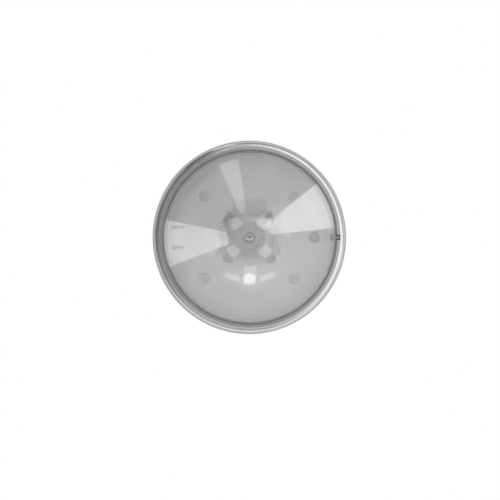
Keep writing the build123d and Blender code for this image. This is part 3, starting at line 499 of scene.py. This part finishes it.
def newTree(name, inputs):
    tree = bpy.data.node_groups.new(name, "GeometryNodeTree")
    kinds = {"int": "NodeSocketInt", "float": "NodeSocketFloat", "object": "NodeSocketObject",
             "material": "NodeSocketMaterial"}
    for label, kind in inputs.items():
        tree.interface.new_socket(label, in_out="INPUT", socket_type=kinds[kind])
    tree.interface.new_socket("Geometry", in_out="OUTPUT", socket_type="NodeSocketGeometry")
    return tree, tree.nodes.new("NodeGroupInput").outputs


def finishTree(tree, geometry):
    out = tree.nodes.new("NodeGroupOutput")
    tree.links.new(geometry, out.inputs["Geometry"])


def runTree(name, tree, values):
    obj = bpy.data.objects.new(name, bpy.data.meshes.new(name))
    scene.collection.objects.link(obj)
    modifier = obj.modifiers.new(name, "NODES")
    modifier.node_group = tree
    identifiers = {item.name: item.identifier for item in tree.interface.items_tree if item.in_out == "INPUT"}
    for label, value in values.items():
        modifier[identifiers[label]] = value
    graph = bpy.context.evaluated_depsgraph_get()
    mesh = bpy.data.meshes.new_from_object(obj.evaluated_get(graph))
    obj.modifiers.clear()
    obj.data = mesh
    mesh.name = name
    return obj


def position(tree):
    return tree.nodes.new("GeometryNodeInputPosition").outputs[0]


def attribute(tree, name):
    return addNode(tree, "GeometryNodeInputNamedAttribute", {"Name": name},
                   data_type="FLOAT").outputs["Attribute"]


def store(tree, geometry, name, value):
    return addNode(tree, "GeometryNodeStoreNamedAttribute", {
        "Geometry": geometry, "Name": name, "Value": value}, data_type="FLOAT", domain="POINT").outputs[0]


def squareSum(tree, x, y):
    return calc(tree, "ADD", calc(tree, "MULTIPLY", x, x), calc(tree, "MULTIPLY", y, y))


def offGrid(tree, value, shift, pitch):
    # how far a value lies from the nearest line of a grid
    moved = calc(tree, "SUBTRACT", value, shift)
    steps = calc(tree, "ROUND", calc(tree, "DIVIDE", moved, pitch))
    return calc(tree, "SUBTRACT", moved, calc(tree, "MULTIPLY", steps, pitch))


def turnedWall(tree, given):
    # a flat grid whose rows go to the stations of the outline and whose columns go round the axis
    grid = addNode(tree, "GeometryNodeMeshGrid", {
        "Size X": 1.0, "Size Y": 1.0, "Vertices X": calc(tree, "ADD", given["Segments"], 1.0),
        "Vertices Y": given["Stations"]}).outputs["Mesh"]
    flat = split(tree, position(tree))
    turn = calc(tree, "MULTIPLY", calc(tree, "ADD", flat["X"], 0.5), 2 * pi)
    row = calc(tree, "ROUND", calc(tree, "MULTIPLY", calc(tree, "ADD", flat["Y"], 0.5),
                                   calc(tree, "SUBTRACT", given["Stations"], 1.0)))
    outline = addNode(tree, "GeometryNodeObjectInfo", {"Object": given["Outline"]}).outputs["Geometry"]
    linePoint = addNode(tree, "GeometryNodeSampleIndex", {
        "Geometry": outline, "Value": position(tree), "Index": row},
        data_type="FLOAT_VECTOR", domain="POINT").outputs[0]
    lineReach = addNode(tree, "GeometryNodeSampleIndex", {
        "Geometry": outline, "Value": attribute(tree, "reach"), "Index": row},
        data_type="FLOAT", domain="POINT").outputs[0]
    marked = store(tree, grid, "reach", lineReach)
    line = split(tree, linePoint)
    turned = addNode(tree, "ShaderNodeCombineXYZ", {
        "X": calc(tree, "MULTIPLY", line["X"], calc(tree, "COSINE", turn)),
        "Y": calc(tree, "MULTIPLY", line["X"], calc(tree, "SINE", turn)), "Z": line["Z"]}).outputs[0]
    wall = addNode(tree, "GeometryNodeSetPosition", {"Geometry": marked, "Position": turned}).outputs[0]
    return addNode(tree, "GeometryNodeMergeByDistance", {
        "Geometry": wall, "Distance": lensSizes["weld"] * mm}).outputs[0]


def honeycombLensTree():
    tree, given = newTree("honeycombLens", {
        "Outline": "object", "Segments": "int", "Stations": "int", "Cell width": "float", "Row step": "float",
        "Dome height": "float", "Cell reach": "float", "Polished": "material", "Frosted": "material",
        "Facets": "material"})
    wall = turnedWall(tree, given)
    cell, rowStep = given["Cell width"], given["Row step"]

    # honeycomb: two rectangular lattices of cell centres, and the nearer centre gives the dome
    away = vector(tree, "NORMALIZE", {0: vector(tree, "MULTIPLY", {0: position(tree), 1: (1.0, 1.0, 0.0)})})
    reach = attribute(tree, "reach")
    spot = split(tree, vector(tree, "SCALE", {0: away, "Scale": reach}))
    halfRow, twoRows, halfCell, rowAndHalf = (
        calc(tree, "MULTIPLY", size, share)
        for size, share in ((rowStep, 0.5), (rowStep, 2.0), (cell, 0.5), (rowStep, 1.5)))
    offA = (offGrid(tree, spot["X"], 0.0, cell), offGrid(tree, spot["Y"], halfRow, twoRows))
    offB = (offGrid(tree, spot["X"], halfCell, cell), offGrid(tree, spot["Y"], rowAndHalf, twoRows))
    squareA, squareB = squareSum(tree, *offA), squareSum(tree, *offB)
    useB = calc(tree, "LESS_THAN", squareB, squareA)
    centre = [calc(tree, "SUBTRACT", spot[axis], choose(tree, useB, a, b))
              for axis, a, b in zip("XY", offA, offB)]
    centreReach = calc(tree, "SQRT", squareSum(tree, *centre))
    inCell = calc(tree, "MULTIPLY", calc(tree, "LESS_THAN", centreReach, given["Cell reach"]),
                  calc(tree, "GREATER_THAN", reach, limits["innerPoint"]))
    cornerSquare = calc(tree, "DIVIDE", calc(tree, "MULTIPLY", cell, cell), 3.0)  # of a hexagon's corner
    nearest = calc(tree, "MINIMUM", squareA, squareB)
    crown = calc(tree, "SUBTRACT", 1.0, calc(tree, "DIVIDE", nearest, cornerSquare))
    height = calc(tree, "MULTIPLY", calc(tree, "MULTIPLY", crown, given["Dome height"]), inCell)
    normal = tree.nodes.new("GeometryNodeInputNormal").outputs["Normal"]
    lift = vector(tree, "SCALE", {0: normal, "Scale": height})

    marked = store(tree, wall, "dome", inCell)
    shaped = addNode(tree, "GeometryNodeSetPosition", {"Geometry": marked, "Offset": lift}).outputs[0]
    smooth = addNode(tree, "GeometryNodeSetShadeSmooth", {"Geometry": shaped}).outputs[0]
    painted = addNode(tree, "GeometryNodeRealizeInstances", {"Geometry": smooth}).outputs[0]
    onInner = calc(tree, "GREATER_THAN", reach, limits["innerFace"])
    onDome = calc(tree, "GREATER_THAN", attribute(tree, "dome"), limits["domeFace"])
    for label, selection in (("Polished", True), ("Frosted", onInner), ("Facets", onDome)):
        painted = addNode(tree, "GeometryNodeSetMaterial", {
            "Geometry": painted, "Material": given[label], "Selection": selection}).outputs[0]
    finishTree(tree, painted)
    return tree


# tone, clarity, and the roughness at radii in mm: the wall is frosted most between honeycomb and rim
lensLooks = {
    "lensPolished": ((0.80, 0.80, 0.795), 0.80, ((0.0, 0.02), (20.0, 0.03), (50.0, 0.04))),
    "lensFrosted": ((0.80, 0.80, 0.795), 0.80,
                    ((0.0, 0.08), (19.0, 0.08), (26.0, 0.25), (34.0, 0.25), (37.0, 0.13))),
    "lensFacets": ((0.82, 0.82, 0.815), 0.86, ((0.0, 0.02), (8.0, 0.03), (12.0, 0.09), (22.0, 0.12))),
}


def lensFinish(name, reach=50.0):
    tone, clarity, rough = lensLooks[name]
    material, tree, shader, place = startMaterial(name, IOR=1.5, Transmission_Weight=clarity)
    cloud = noise(tree, place, textures["lensCloud"], detail=3.0)
    wire(tree, shader, Base_Color=tint(tree, cloud, shade(tone, 0.98), shade(tone, 1.02)),
         Roughness=ramp(tree, calc(tree, "DIVIDE", axisDistance(tree, place), reach * mm),
                        [(r / reach, (value, value, value)) for r, value in rough]))
    return material


def rideAsLens(obj):
    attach(obj, "cover")
    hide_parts("lens")


def makeLens(polished):
    stations = lensOutline()
    mesh = bpy.data.meshes.new("lensOutline")
    mesh.from_pydata([(r * mm, 0.0, z * mm) for r, z, _ in stations], [], [])
    ways = mesh.attributes.new("reach", "FLOAT", "POINT")
    ways.data.foreach_set("value", [reach * mm if reach >= 0 else offReach for *_, reach in stations])
    outline = bpy.data.objects.new("lensOutline", mesh)
    scene.collection.objects.link(outline)
    s = lensSizes
    lens = runTree("honeycombLens", honeycombLensTree(), {
        "Outline": outline, "Segments": s["segments"], "Stations": len(stations),
        "Cell width": s["cellWidth"] * mm, "Row step": s["rowStep"] * mm,
        "Dome height": s["domeHeight"] * mm, "Cell reach": s["cellReach"] * mm,
        "Polished": polished, "Frosted": lensFinish("lensFrosted"), "Facets": lensFinish("lensFacets")})
    bpy.data.objects.remove(outline)
    rideAsLens(lens)
    print("lens:", len(lens.data.polygons), "faces,", len(stations), "stations")
    # the two key boxes light the lens alone: the rings have glows of their own
    group = bpy.data.collections.new("lensOnly")
    group.objects.link(lens)
    for box in ("keyBoxRight", "keyBoxLeft"):
        boxes[box].light_linking.receiver_collection = group


def makeKeyTab(polished):
    # the lens's tab, which fills the slot in the cover ring
    s = tabSizes
    foot, end = ringSlopeZ(s["start"]), ringSlopeZ(s["end"])
    profile = ((s["start"], s["lipZ"]), (s["lipRadius"], s["lipZ"]), (s["end"], end),
               (s["end"], end + s["rise"]), (s["start"], foot + s["rise"]))
    shell = bmesh.new()
    for r, z in profile:
        for side in (-1, 1):
            shell.verts.new((r * mm, side * s["half"] * mm, z * mm))
    bmesh.ops.convex_hull(shell, input=shell.verts)
    bmesh.ops.dissolve_limit(shell, angle_limit=radians(1.0), verts=shell.verts, edges=shell.edges)
    bmesh.ops.bevel(shell, geom=shell.edges[:], offset=s["edge"] * mm, segments=2, affect="EDGES")
    bmesh.ops.recalc_face_normals(shell, faces=shell.faces)
    mesh = bpy.data.meshes.new("keyTab")
    shell.to_mesh(mesh)
    shell.free()
    mesh.materials.append(polished)
    tab = bpy.data.objects.new("keyTab", mesh)
    scene.collection.objects.link(tab)
    rideAsLens(tab)


polished = lensFinish("lensPolished")
makeLens(polished)
makeKeyTab(polished)
